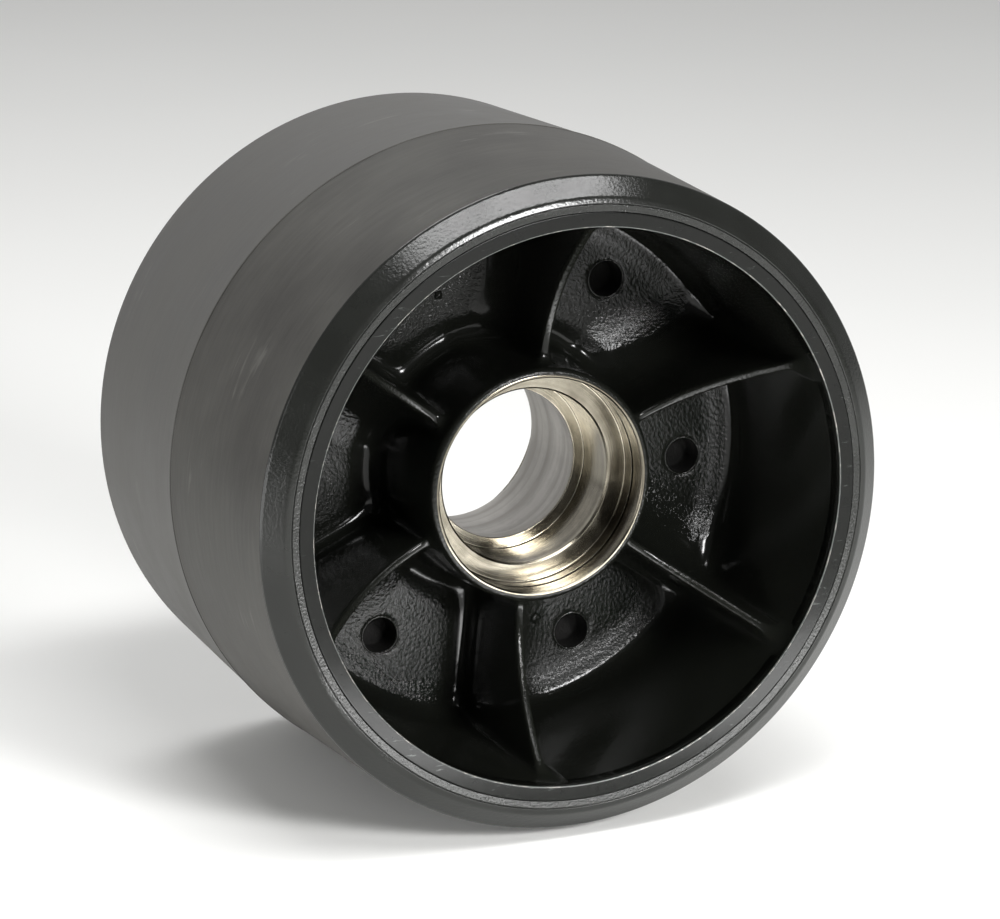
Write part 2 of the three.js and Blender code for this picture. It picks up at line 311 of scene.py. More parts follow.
def turnedTree():
    # turns an outline, whose points hold (radius, place along Y), about the Y axis
    tree, given, result = newTree("turnedAboutAxis", [
        ("Facets", "NodeSocketInt", 192), ("Material", "NodeSocketMaterial", None)])
    size = addNode(tree, "GeometryNodeAttributeDomainSize", {"component": "MESH"}, {
        "Geometry": given.outputs["Geometry"]})
    across = addNode(tree, "ShaderNodeMath", {"operation": "ADD"}, {0: size.outputs["Point Count"], 1: 1.0})
    around = addNode(tree, "ShaderNodeMath", {"operation": "ADD"}, {0: given.outputs["Facets"], 1: 1.0})
    grid = addNode(tree, "GeometryNodeMeshGrid", None, {"Vertices X": around, "Vertices Y": across})
    index = addNode(tree, "GeometryNodeInputIndex")
    row = addNode(tree, "ShaderNodeMath", {"operation": "MODULO"}, {0: index, 1: across})
    point = addNode(tree, "ShaderNodeMath", {"operation": "MODULO"}, {0: row, 1: size.outputs["Point Count"]})
    turn = addNode(tree, "ShaderNodeMath", {"operation": "FLOOR"}, {
        0: addNode(tree, "ShaderNodeMath", {"operation": "DIVIDE"}, {0: index, 1: across})})
    share = addNode(tree, "ShaderNodeMath", {"operation": "DIVIDE"}, {0: turn, 1: given.outputs["Facets"]})
    angle = addNode(tree, "ShaderNodeMath", {"operation": "MULTIPLY"}, {0: share, 1: 2 * pi})
    outline = addNode(tree, "GeometryNodeSampleIndex", {"data_type": "FLOAT_VECTOR", "domain": "POINT"}, {
        "Geometry": given.outputs["Geometry"], "Value": addNode(tree, "GeometryNodeInputPosition"), "Index": point})
    parts = addNode(tree, "ShaderNodeSeparateXYZ", None, {"Vector": outline})
    cosine = addNode(tree, "ShaderNodeMath", {"operation": "COSINE"}, {0: angle})
    sine = addNode(tree, "ShaderNodeMath", {"operation": "SINE"}, {0: angle})
    x = addNode(tree, "ShaderNodeMath", {"operation": "MULTIPLY"}, {0: parts.outputs["X"], 1: cosine})
    z = addNode(tree, "ShaderNodeMath", {"operation": "MULTIPLY"}, {0: parts.outputs["X"], 1: sine})
    place = addNode(tree, "ShaderNodeCombineXYZ", None, {"X": x, "Y": parts.outputs["Y"], "Z": z})
    moved = addNode(tree, "GeometryNodeSetPosition", None, {
        "Geometry": grid.outputs["Mesh"], "Position": place})
    closed = addNode(tree, "GeometryNodeMergeByDistance", None, {
        "Geometry": moved, "Distance": 0.002 * millimetre})
    smooth = addNode(tree, "GeometryNodeSetShadeSmooth", None, {"Geometry": closed})
    real = addNode(tree, "GeometryNodeRealizeInstances", None, {"Geometry": smooth})
    coloured = addNode(tree, "GeometryNodeSetMaterial", None, {
        "Geometry": real, "Material": given.outputs["Material"]})
    tree.links.new(coloured.outputs["Geometry"], result.inputs["Geometry"])
    return tree


def repeatedTree():
    # sets copies of one sector round the Y axis and closes the seams between them
    tree, given, result = newTree("repeatedAboutAxis", [
        ("Count", "NodeSocketInt", 6), ("Seam", "NodeSocketFloat", 0.02 * millimetre),
        ("Material", "NodeSocketMaterial", None)])
    points = addNode(tree, "GeometryNodePoints", None, {"Count": given.outputs["Count"]})
    share = addNode(tree, "ShaderNodeMath", {"operation": "DIVIDE"}, {
        0: addNode(tree, "GeometryNodeInputIndex"), 1: given.outputs["Count"]})
    angle = addNode(tree, "ShaderNodeMath", {"operation": "MULTIPLY"}, {0: share, 1: 2 * pi})
    turn = addNode(tree, "ShaderNodeCombineXYZ", None, {"Y": angle})
    copies = addNode(tree, "GeometryNodeInstanceOnPoints", None, {
        "Points": points, "Instance": given.outputs["Geometry"], "Rotation": turn})
    real = addNode(tree, "GeometryNodeRealizeInstances", None, {"Geometry": copies})
    closed = addNode(tree, "GeometryNodeMergeByDistance", None, {
        "Geometry": real, "Distance": given.outputs["Seam"]})
    smooth = addNode(tree, "GeometryNodeSetShadeSmooth", None, {"Geometry": closed})
    coloured = addNode(tree, "GeometryNodeSetMaterial", None, {
        "Geometry": smooth, "Material": given.outputs["Material"]})
    tree.links.new(coloured.outputs["Geometry"], result.inputs["Geometry"])
    return tree


def newObject(name, points, faces=(), edges=()):
    # a mesh object from points in millimetres
    mesh = bpy.data.meshes.new(name)
    mesh.from_pydata((np.asarray(points, float) * millimetre).tolist(), list(edges), [list(f) for f in faces])
    mesh.update()
    obj = bpy.data.objects.new(name, mesh)
    scene.collection.objects.link(obj)
    return obj


def bakeNodes(obj, tree, values):
    # runs a tree on the object with these inputs and keeps the result as its plain mesh
    modifier = obj.modifiers.new("nodes", "NODES")
    modifier.node_group = tree
    for item in tree.interface.items_tree:
        if item.in_out == "INPUT" and item.name in values:
            modifier[item.identifier] = values[item.name]
    bpy.context.view_layer.update()
    graph = bpy.context.evaluated_depsgraph_get()
    mesh = bpy.data.meshes.new_from_object(obj.evaluated_get(graph), preserve_all_data_layers=True, depsgraph=graph)
    obj.modifiers.remove(modifier)
    mesh.materials.clear()
    mesh.materials.append(values["Material"])
    mesh.polygons.foreach_set("material_index", np.zeros(len(mesh.polygons), np.int32))
    obj.data = mesh
    return obj


def roundedOutline(corners, steps=4, hold=0.5):
    # corners (radius, y, rounding) to points; a rounding gets an arc, and a point close by on both sides of it
    points = []
    count = len(corners)
    for i, (r, y, rounding) in enumerate(corners):
        corner = np.array([r, y], float)
        if rounding == 0:
            points.append(corner)
            continue
        before = np.array(corners[i - 1][:2], float) - corner
        after = np.array(corners[(i + 1) % count][:2], float) - corner
        before, after = before / np.linalg.norm(before), after / np.linalg.norm(after)
        half = np.arccos(np.clip(before @ after, -1, 1)) / 2
        setback = rounding / tan(half)
        middle = corner + (before + after) / np.linalg.norm(before + after) * rounding / sin(half)
        start, end = corner + before * setback - middle, corner + after * setback - middle
        first, last = atan2(start[1], start[0]), atan2(end[1], end[0])
        sweep = (last - first + pi) % (2 * pi) - pi
        points.append(corner + before * (setback + min(hold, rounding)))
        for k in range(steps + 1):
            a = first + sweep * k / steps
            points.append(middle + rounding * np.array([cos(a), sin(a)]))
        points.append(corner + after * (setback + min(hold, rounding)))
    return points


def turnedPiece(name, points, facets, materials, rule=None):
    # a closed ring from its outline; rule(radius, y) picks the material of each face
    count = len(points)
    obj = newObject(name, [(r, y, 0) for r, y in points], edges=[(i, (i + 1) % count) for i in range(count)])
    bakeNodes(obj, turned, {"Facets": facets, "Material": materials[0]})
    for material in materials[1:]:
        obj.data.materials.append(material)
    faceOutwards(obj)
    if rule:
        for face in obj.data.polygons:
            c = face.center * 1000
            face.material_index = rule((c.x ** 2 + c.z ** 2) ** 0.5, c.y)
    return obj


def faceOutwards(obj):
    # turns the faces of a closed mesh to point out of it
    work = bmesh.new()
    work.from_mesh(obj.data)
    bmesh.ops.recalc_face_normals(work, faces=work.faces)
    work.to_mesh(obj.data)
    work.free()


def setGrit(obj, values):
    # one value for each point: 0 on smooth paint and 1 on the sandy skin
    obj.data.attributes.new("grit", "FLOAT", "POINT").data.foreach_set("value", values.astype(np.float32))


turned = turnedTree()
repeated = repeatedTree()
print("node trees built")


# ---- wheel casting: hub, web, ribs, pads and the two drafted walls, as one skin

casting = {
    "ribCount": 6, "firstRib": 24.0,  # degrees from +X towards +Z
    "webThickness": 12.0, "padHeight": 3.0, "padInner": 75.0, "padOuter": 130.0,
    "padSlope": 10.0,  # width of the slope round a pad
    "padSides": (7.0, 12.0),  # clear of the rib below and of the rib above
    "padRounding": {"arcs": 9.0, "sides": 11.0, "corners": 14.0},
    "sandInner": 73.0, "sandOuter": 131.0, "sandSpan": (71.0, 135.0),  # the sandy patch runs a little past the pad
    "sandSides": ((23.0, 12.0), (13.0, 10.0)),  # its clearances at the two ends of that span
    "sandRounding": {"arcs": 9.0, "sides": 11.0, "corners": 9.0},
    "holeCircle": 107.5, "holeRadius": 9.0, "holeDepth": 14.0, "holeLip": 1.3,  # blind, in the front pads
    "cupClearance": 0.5, "cupBehind": 1.6, "cupRounding": 1.0, "mouthRounding": 0.6,  # room in the skin for the cup
    "hubRoot": 64.0, "hubDraft": 3.5, "hubEdge": 2.6, "hubMouth": 56.1,
    "rimRoot": 137.5, "rimDraft": 1.5, "rimStop": 1.2,  # the skin ends this far inside the rim's face
    "ribRoot": 9.0, "ribCrest": 4.6, "ribEdge": 1.9, "hubSetback": 11.0, "rimSetback": 16.0,
    "crestSpan": (61.0, 140.0),  # radii between which a rib's crest rises from the hub to the rim
    "webHubFillet": 9.0, "webRimFillet": 22.0, "ribHubFillet": 6.0, "ribRimFillet": 8.0, "filletBlend": 24.0,
    "ribWebFillet": 10.0, "ribWebSweep": 38.0, "sweepBlend": 20.0,
    "paint": {"colour": "#0c0d0b", "thinColour": "#131411", "cloudSize": 26.0,
              "gloss": 0.1, "gritGloss": 0.05, "glossSpread": 0.06,
              "peelSize": 4.0, "peelHeight": 0.03, "skinSize": 16.0, "skinHeight": 0.12,
              "gritSize": 1.8, "gritHeight": 0.5},
    # the hole lining: near-black matt iron deep in the blind holes, a painted shade
    "holeShade": {"colour": "#060606", "grainColour": "#100f0d", "grainSize": 1.5, "grainHeight": 0.2},
}
sandy = {  # where the skin stays gritty, in millimetres, with the walls' turns in radians from a rib
    "padDepth": 6.0, "padFade": 3.0, "padLevel": 0.6,
    "crestWidth": 3.5, "crestSide": 4.0, "crestStart": 70.0, "crestRise": 25.0, "crestLevels": (0.15, 0.8),
    "hubWidth": 3.0, "hubOuter": 63.0, "hubLevel": 0.8,
    "wallStart": 128.0, "wallRise": 6.0, "wallTurn": 0.16, "wallTurnRise": 0.2,
    "wallMiddle": 48.0, "wallSpread": 34.0, "wallLevel": 0.55,
}
net = {  # lines of the grid that finds the skin, in millimetres: close at the ribs, fillets and pads
    "radii": [(casting["hubMouth"], 67, 1.1), (67.4, 79, 1.6), (81.5, 96, 3.1), (97, 119, 1.6), (121, 126, 2.5),
              (126.5, 146, 1.5)],  # start, end, step
    "besideRib": [0, 0.6, 1.2, 1.8, 2.4, 3.0, 3.7, 4.6, 6.0, 7.6, 9.4, 11.2, 13.0],
    "pastRib": [0.1, 0.22, 0.34, 0.46, 0.57, 0.66, 0.73, 0.79, 0.84, 0.88, 0.92, 0.96, 1],  # share of the rest
    "heights": [(0, 4, 2.0), (4.4, 13, 1.15), (14, 24, 2.0)],
    "wallStart": 25.5, "frontRows": 30, "rearRows": 34,
    "settlings": 4, "leastSlope": 0.3, "longestStep": 0.8, "slopeStep": 0.03,
}


def softMin(a, b, width):
    # the lesser of two distances, with a fillet of about this width where they meet
    return np.minimum(a, b) - np.maximum(width - np.abs(a - b), 0) ** 2 / (4 * width)


def softMax(a, b, width):
    return -softMin(-a, -b, width)


def patch(toRibs, radius, inner, outer, clear, rounding):
    # distance outside a rounded patch that stays clear of the ribs on both sides of it
    arcs = softMax(inner - radius, radius - outer, rounding["arcs"])
    sides = softMax(clear[0] - toRibs[0], clear[1] - toRibs[1], rounding["sides"])
    return softMax(arcs, sides, rounding["corners"])


def castingFields(x, y, z):
    # what the skin is worked out from: radius, turn from the rib below, turn from the nearest rib, height over the
    # web's middle, the hub's end, a rib's crest with its lean, and the distances outside the pad and its sand
    c = casting
    pitch = 2 * pi / c["ribCount"]
    radius = np.hypot(x, z)
    turn = np.arctan2(z, x) - radians(c["firstRib"])
    sector = turn % pitch
    fold = np.abs((turn + pitch / 2) % pitch - pitch / 2)
    front = y < webCentre
    height = np.abs(y - webCentre)
    hubEnd = np.where(front, webCentre - hubLow.y, hubHigh.y - webCentre)
    rimEnd = np.where(front, webCentre + halfWidth, halfWidth - webCentre)
    crestHub, crestRim = hubEnd - c["hubSetback"], rimEnd - c["rimSetback"]
    start, end = c["crestSpan"]
    share = np.clip((radius - start) / (end - start), 0, 1.1)
    crest = crestHub + (crestRim - crestHub) * share ** 2
    lean = 1 / np.sqrt(1 + (2 * share * (crestRim - crestHub) / (end - start)) ** 2)
    toRibs = radius * np.sin(sector), radius * np.sin(pitch - sector)
    pad = patch(toRibs, radius, c["padInner"], c["padOuter"], c["padSides"], c["padRounding"])
    start, end = c["sandSpan"]
    along = np.clip((radius - start) / (end - start), 0, 1)
    clear = [atHub + (atRim - atHub) * along for atHub, atRim in c["sandSides"]]
    sand = patch(toRibs, radius, c["sandInner"], c["sandOuter"], clear, c["sandRounding"])
    return radius, sector, fold, height, hubEnd, crest, lean, pad, sand


def between(low, high, share):
    return low + (high - low) * share


def castingDistance(x, y, z):
    # signed distance to the casting's skin, negative in the iron
    c = casting
    radius, sector, fold, height, hubEnd, crest, lean, pad, sand = castingFields(x, y, z)
    raised = np.clip(0.5 - pad / c["padSlope"], 0, 1)
    raised = raised * raised * (3 - 2 * raised)
    web = height - c["webThickness"] / 2 - c["padHeight"] * raised
    hubDraft, rimDraft = radians(c["hubDraft"]), radians(c["rimDraft"])
    hubWall = (radius - c["hubRoot"] + height * tan(hubDraft)) * cos(hubDraft)
    rimWall = (c["rimRoot"] + height * tan(rimDraft) - radius) * cos(rimDraft)
    ribHalf = between(c["ribRoot"], c["ribCrest"], np.clip(height / crest, 0, 1)) / 2
    rib = softMax(radius * np.sin(fold) - ribHalf, (height - crest) * lean, c["ribEdge"])
    hub = softMax(hubWall, height - hubEnd, c["hubEdge"])
    # each rib runs out into the web in a broad sweep on one side and a small fillet on the other
    middle = pi / c["ribCount"]
    swept = np.clip(0.5 + (middle - sector) * radius / c["sweepBlend"], 0, 1)
    iron = softMin(web, rib, between(c["ribWebFillet"], c["ribWebSweep"], swept))
    # the fillets along the hub and the rim change over slowly from the web to a rib
    onRib = np.clip(0.5 + (web - rib) / c["filletBlend"], 0, 1)
    iron = softMin(iron, hub, between(c["webHubFillet"], c["ribHubFillet"], onRib))
    iron = softMin(iron, rimWall, between(c["webRimFillet"], c["ribRimFillet"], onRib))
    hole = np.hypot(radius * np.cos(middle - fold) - c["holeCircle"], radius * np.sin(middle - fold))
    mouth = webCentre - c["webThickness"] / 2 - c["padHeight"]
    bottom = y - mouth - c["holeDepth"] - c["cupBehind"]
    hollow = softMax(hole - c["holeRadius"] - c["cupClearance"], bottom, c["cupRounding"])
    return softMax(iron, -hollow, c["mouthRounding"])


def castingSlope(points):
    # how the distance grows along each axis
    step = net["slopeStep"]
    return np.stack([(castingDistance(*(points + move).T) - castingDistance(*(points - move).T)) / (2 * step)
                     for move in np.eye(3) * step], axis=1)


def netPoints():
    # the net's crossings over one sector and a little more, as (radius, turn, y)
    pitch = 2 * pi / casting["ribCount"]
    radii = np.concatenate([np.arange(*span) for span in net["radii"]])
    near, far = np.array(net["besideRib"]), np.array(net["pastRib"])
    ribEnd = np.arcsin(near[-1] / radii)[:, None]
    halfTurns = np.concatenate([np.arcsin(near / radii[:, None]), ribEnd * (1 - far) + pitch / 2 * far], axis=1)
    turns = np.concatenate([-halfTurns[:, :0:-1], halfTurns, pitch - halfTurns[:, -2:-3:-1]], axis=1)
    heights = np.concatenate([np.arange(*span) for span in net["heights"]])
    wallEnd = halfWidth - casting["rimStop"]
    frontUp = np.linspace(net["wallStart"], wallEnd + webCentre, net["frontRows"])
    rearUp = np.linspace(net["wallStart"], wallEnd - webCentre, net["rearRows"])
    places = webCentre + np.concatenate([-frontUp[::-1], -heights[:0:-1], heights, rearUp])
    r = np.broadcast_to(radii[:, None, None], (len(radii), turns.shape[1], len(places)))
    t = np.broadcast_to(turns[:, :, None], r.shape) + radians(casting["firstRib"])
    y = np.broadcast_to(places[None, None, :], r.shape)
    return np.stack([r, t, y], axis=-1)


def nextTo(axis, others):
    # slices of a grid that pair each crossing with the next one along an axis
    low, high = [others] * 3, [others] * 3
    low[axis], high[axis] = slice(None, -1), slice(1, None)
    return tuple(low), tuple(high)


def cellPoints(nodes, value, inside):
    # one point for each cell that the skin runs through, at the mean of its crossings with the cell's edges
    cells = tuple(n - 1 for n in value.shape)
    total, number = np.zeros(cells + (3,)), np.zeros(cells)
    for axis in range(3):
        low, high = nextTo(axis, slice(None))
        cross = inside[low] != inside[high]
        share = np.where(cross, value[low] / np.where(cross, value[low] - value[high], 1), 0)[..., None]
        spot = (nodes[low] * (1 - share) + nodes[high] * share) * cross[..., None]
        b, d = [k for k in range(3) if k != axis]
        for p, q in [(0, 0), (0, 1), (1, 0), (1, 1)]:
            part = [slice(None)] * 3
            part[b], part[d] = slice(p, cells[b] + p), slice(q, cells[d] + q)
            total += spot[tuple(part)]
            number += cross[tuple(part)]
    used = number > 0
    ids = np.full(cells, -1)
    ids[used] = np.arange(used.sum())
    r, t, y = (total[used] / number[used][:, None]).T
    return np.stack([r * np.cos(t), y, r * np.sin(t)], axis=1), ids


def cellFaces(inside, ids):
    # a face across each edge of the net that the skin crosses, from the points of the four cells round it
    faces = []
    for axis in range(3):
        low, high = nextTo(axis, slice(1, -1))
        b, d = [k for k in range(3) if k != axis]
        spot = np.argwhere(inside[low] != inside[high])
        spot[:, b] += 1
        spot[:, d] += 1
        if axis == 1:
            spot = spot[spot[:, 1] < ids.shape[1] - 1]  # the last column of cells is the next sector's first
        ring = []
        for p, q in [(0, 0), (1, 0), (1, 1), (0, 1)]:
            cell = spot.copy()
            cell[:, b] -= p
            cell[:, d] -= q
            ring.append(ids[tuple(cell.T)])
        faces.append(np.stack(ring, axis=1))
    return np.concatenate(faces)


def sectorSkin():
    # the skin of one sixth of the casting, by surface nets
    nodes = netPoints()
    r, t, y = (nodes[..., k] for k in range(3))
    value = castingDistance(r * np.cos(t), y, r * np.sin(t))
    points, ids = cellPoints(nodes, value, value < 0)
    for _ in range(net["settlings"]):  # each point moves onto the exact skin
        distance, slope = castingDistance(*points.T), castingSlope(points)
        step = distance / np.maximum((slope ** 2).sum(1), net["leastSlope"])
        points -= slope * step.clip(-net["longestStep"], net["longestStep"])[:, None]
    faces = cellFaces(value < 0, ids)
    a, b, c, d = (points[faces[:, k]] for k in range(4))
    inwards = (np.cross(c - a, d - b) * castingSlope((a + b + c + d) / 4)).sum(axis=1) < 0
    faces[inwards] = faces[inwards][:, ::-1]
    return points, faces


def castingGrit(points):
    # 1 where the skin is sandy: on the pads, the outer part of the ribs' crests, the hub's ends and the dish wall
    c, g = casting, sandy
    radius, sector, fold, height, hubEnd, crest, lean, pad, sand = castingFields(*points.T)
    onWeb = np.clip(g["padLevel"] - sand / g["padFade"], 0, 1)
    onWeb *= height < c["webThickness"] / 2 + c["padHeight"] + g["padDepth"]
    onCrest = np.clip(1 - np.abs(height - crest) / g["crestWidth"], 0, 1)
    onCrest *= np.clip((radius - g["crestStart"]) / g["crestRise"], *g["crestLevels"])
    onCrest *= radius * np.sin(fold) < g["crestSide"]
    onHub = g["hubLevel"] * np.clip(1 - (hubEnd - height) / g["hubWidth"], 0, 1) * (radius < g["hubOuter"])
    onWall = g["wallLevel"] * np.clip((radius - g["wallStart"]) / g["wallRise"], 0, 1)
    onWall *= np.clip((fold - g["wallTurn"]) / g["wallTurnRise"], 0, 1)
    onWall *= np.clip(1 - np.abs(height - g["wallMiddle"]) / g["wallSpread"], 0, 1)
    return np.maximum.reduce([onWeb, onCrest, onHub, onWall])


paint = glossBlackPaint(casting["paint"])
points, faces = sectorSkin()
wheelCasting = newObject("wheelCasting", points, faces)
setGrit(wheelCasting, castingGrit(points))
bakeNodes(wheelCasting, repeated, {"Count": casting["ribCount"], "Material": paint})
print("wheel casting:", len(wheelCasting.data.polygons), "faces")


# the lining of a blind hole, in millimetres
cup = {"wall": 0.8, "floor": 1.0, "facets": 48, "lipDepth": 1.5, "lipGrit": 0.9, "shadeDepth": 1.6}


def holeCup():
    # one blind hole's wall and bottom, with the sandy lip that the core left round its mouth, for the first pad
    c = casting
    mouth = webCentre - c["webThickness"] / 2 - c["padHeight"]
    r, depth, outer = c["holeRadius"], c["holeDepth"], c["holeRadius"] + cup["wall"]
    outline = [
        (0, depth), (r * 0.5, depth), (r - 1.2, depth), (r - 0.35, depth - 0.35), (r, depth - 1.2),
        (r, 5), (r, 0.7), (r + 0.15, 0.2), (r + 0.45, -0.08), (outer, -0.12), (r + c["holeLip"], 0.1),
        (r + c["holeLip"], 0.9), (outer, 1.4), (outer, depth + cup["floor"]), (0, depth + cup["floor"])]
    obj = newObject("padHoles", [(a, b, 0) for a, b in outline], edges=[(i, i + 1) for i in range(len(outline) - 1)])
    bakeNodes(obj, turned, {"Facets": cup["facets"], "Material": paint})
    turn = radians(c["firstRib"] + 180 / c["ribCount"])
    obj.data.transform(Matrix.Translation(
        Vector((c["holeCircle"] * cos(turn), mouth, c["holeCircle"] * sin(turn))) * millimetre))
    depths = np.array([v.co.y for v in obj.data.vertices]) / millimetre - mouth
    setGrit(obj, np.where(depths < cup["lipDepth"], cup["lipGrit"], 0.0))
    bakeNodes(obj, repeated, {"Count": c["ribCount"], "Material": paint})
    faceOutwards(obj)
    # past this depth the lining takes the near-black matt iron: painted shade deep in each hole
    obj.data.materials.append(holeShadeIron(c["holeShade"]))
    for face in obj.data.polygons:
        face.material_index = int(face.center.y > (mouth + cup["shadeDepth"]) * millimetre)
    return obj


padHoles = holeCup()
print("pad holes:", len(padHoles.data.polygons), "faces")

pips = {  # blobs of iron where the mould was pitted: place across the web, radius, height
    "blobs": [((22.5, -88.5), 3.2, 3.8), ((19.4, -85.8), 2.0, 2.6), ((-18.6, 93.8), 2.1, 2.4),
              ((-29.5, 87.6), 2.4, 2.6), ((-25.2, 90.6), 1.3, 1.0)],
    "sink": 0.6, "grit": 0.7, "slowWave": 0.16, "quickWave": 0.08,
}


def pipBlobs():
    # each blob is a ball pressed flat and knocked out of round by waves
    work = bmesh.new()
    face = webCentre - casting["webThickness"] / 2 - casting["padHeight"] + pips["sink"]
    for (x, z), r, high in pips["blobs"]:
        for v in bmesh.ops.create_icosphere(work, subdivisions=3, radius=1.0)["verts"]:
            wave = 1 + pips["slowWave"] * sin(5 * v.co.x + x) * cos(4 * v.co.z + z)
            wave += pips["quickWave"] * sin(9 * v.co.y + r)
            v.co = Vector((x + v.co.x * r * wave, face - v.co.y * high * wave, z + v.co.z * r * wave)) * millimetre
    obj = newObject("castingPips", [])
    work.to_mesh(obj.data)
    work.free()
    obj.data.materials.append(paint)
    setGrit(obj, np.full(len(obj.data.vertices), pips["grit"]))
    obj.data.polygons.foreach_set("use_smooth", np.ones(len(obj.data.polygons), bool))
    faceOutwards(obj)
    return obj


castingPips = pipBlobs()
print("pips:", len(castingPips.data.polygons), "faces")


# ---- turned rim faces, one ring at each side

rim = {
    "outer": 148.0, "edge": 0.55, "outerEdge": 0.4, "depth": 9.0, "proud": 0.04, "facets": 240,
    "wornAcross": 0.9, "wornDown": 1.05,  # times the edge's rounding
    "paint": {"colour": "#0b0c0b", "thinColour": "#131412", "cloudSize": 9.0, "cloudHeight": 0.06,
              "gloss": 0.17, "glossSpread": 0.1,
              "scuffColour": "#5f6260", "scuffStart": 0.62, "scuffFade": 0.1, "scuffSize": 14.0, "scuffNarrow": 7.0,
              "scuffTurn": (0.3, 0.5, 0.9)},
    "edgeWear": {"paint": "#3a3d3b", "iron": "#8a8782", "start": 0.5, "fade": 0.14, "patchSize": 5.0},
}


def rimRing(name, side):
    # side -1 is the front; the ring reaches down the drafted wall past the end of the casting's skin
    face = side * halfWidth
    reach = abs(face - webCentre)
    wall = casting["rimRoot"] + reach * tan(radians(casting["rimDraft"])) - rim["proud"]
    inner = wall - rim["depth"] * tan(radians(casting["rimDraft"]))
    back = face - side * rim["depth"]
    points = roundedOutline([
        (wall, face, rim["edge"]), (rim["outer"], face, rim["outerEdge"]), (rim["outer"], back, 0), (inner, back, 0)])

    def materialAt(r, y):
        if r < wall + rim["edge"] * rim["wornAcross"] and abs(y) > halfWidth - rim["edge"] * rim["wornDown"]:
            return 1
        return 2 if r < wall + 0.3 else 0

    return turnedPiece(name, points, rim["facets"], [rimPaintMaterial, wornEdgeMaterial, paint], materialAt)


rimPaintMaterial = rimPaint(rim["paint"])
wornEdgeMaterial = wornEdge(rim["edgeWear"])
frontRim = rimRing("frontRimFace", -1)
rearRim = rimRing("rearRimFace", 1)
print("rim faces built")


# ---- machined bores

bore = {
    "bearing": 45.0, "frontDepth": 28.5, "shoulder": 39.2, "shoulderLength": 9.0, "seal": 55.0, "sealDepth": 20.2,
    "grooveDepth": 2.0, "grooveWidth": 2.2, "grooveInset": 10.5, "chamfer": 0.7, "seatChamfer": 1.0,
    "backing": 57.6, "recess": 0.12, "facets": 180,
    "seats": {"colour": "#8e897c", "darkColour": "#5e594f", "stainSize": 18.0, "stainSpan": (0.15, 0.36),
              "gloss": 0.18, "ringPitch": 0.9, "ringHeight": 0.03, "ringsPerBand": 7},
    "deep": {"colour": "#bdbab6", "darkColour": "#9d9a95", "stainSize": 18.0, "stainSpan": (0.15, 0.36),
             "gloss": 0.5, "ringPitch": 1.2, "ringHeight": 0.01, "ringsPerBand": 7},
}


def boreEnd(face, inwards, bearingEnd):
    # outline corners from a hub face inwards to the back of its bearing seat
    b = bore
    at = lambda depth: face + inwards * depth
    return [
        (b["backing"], at(b["recess"]), 0),
        (b["seal"] + b["chamfer"], at(b["recess"]), 0.15), (b["seal"], at(b["recess"] + b["chamfer"]), 0.15),
        (b["seal"], at(b["grooveInset"]), 0.12), (b["seal"] + b["grooveDepth"], at(b["grooveInset"]), 0.12),
        (b["seal"] + b["grooveDepth"], at(b["grooveInset"] + b["grooveWidth"]), 0.12),
        (b["seal"], at(b["grooveInset"] + b["grooveWidth"]), 0.12),
        (b["seal"], at(b["sealDepth"]), 0.5), (b["bearing"] + b["seatChamfer"], at(b["sealDepth"]), 0.2),
        (b["bearing"], at(b["sealDepth"] + b["seatChamfer"]), 0.2),
        (b["bearing"], bearingEnd, 0.4), (b["shoulder"], bearingEnd, 0.35)]


shoulderFront = hubLow.y + bore["sealDepth"] + bore["frontDepth"]
seatIron = turnedIron("fineTurnedDuctileIron", bore["seats"])
deepIron = turnedIron("boredDuctileIron", bore["deep"])
frontSeats = boreEnd(hubLow.y, 1, shoulderFront)
rearSeats = boreEnd(hubHigh.y, -1, shoulderFront + bore["shoulderLength"])
boreOutline = roundedOutline(frontSeats + rearSeats[::-1], steps=3)


def boreMaterialAt(r, y):
    # the bore between the front shoulder and the rear seal is rougher than the seats
    return int(shoulderFront + 0.8 < y < hubHigh.y - bore["sealDepth"] and r < bore["bearing"] + 0.2)


machinedBore = turnedPiece("machinedBore", boreOutline, bore["facets"], [seatIron, deepIron], boreMaterialAt)
print("machined bore built")


# ---- rubber tyre

tyre = {
    "shoulder": 165.0, "treadWidth": 237.0, "parting": -4.0, "cornerRounding": 2.6,
    "cornerReach": 8.0, "treadPoints": 10, "paintReach": 0.6, "treadInner": 160.0,
    "ridge": 0.3, "ridgeWidth": 1.6, "inner": 148.3, "facets": 240,
    "flashOuter": 151.8, "grooveDepth": 0.5, "beadOuter": 155.2, "beadDrop": 0.9,
    "rubber": {"frontColour": "#25231f", "rearColour": "#464543", "partingBlur": 0.4, "gloss": 0.5,
               "bloomColour": "#605f5b", "smudge": 0.42, "cloudSize": 55.0,
               "streakSize": 3.2, "streakLong": 0.12, "streakShare": 0.35, "streakHeight": 0.07,
               "fineSize": 1.6, "fineShare": 0.35,
               "scuffColour": "#85847f", "scuff": 0.2, "scuffSize": 7.0, "scuffSpacing": 34.0},
    "paint": {"colour": "#141513", "thinColour": "#1f201e", "cloudSize": 24.0,
              "gloss": 0.13, "peelSize": 1.5, "peelHeight": 0.1},
    "flash": {"colour": "#121311", "thinColour": "#232422", "cloudSize": 24.0,
              "gloss": 0.18, "peelSize": 1.3, "peelHeight": 0.4},
}


def sidewall(side):
    # corners from the rim outwards: flash over the joint, a thin groove, a round bead, and the slope up to the tread
    t = tyre
    at = lambda depth: side * (halfWidth - depth)
    return [
        (t["inner"], at(6), 0), (t["inner"], at(0.25), 0.15),
        (t["flashOuter"] - 0.2, at(0.05), 0.2), (t["flashOuter"] + 0.15, at(t["grooveDepth"] + 0.2), 0.1),
        (t["flashOuter"] + 0.6, at(0.0), 0.3), (t["beadOuter"], at(t["beadDrop"]), 5.5),
        (t["shoulder"], side * t["treadWidth"] / 2, t["cornerRounding"])]


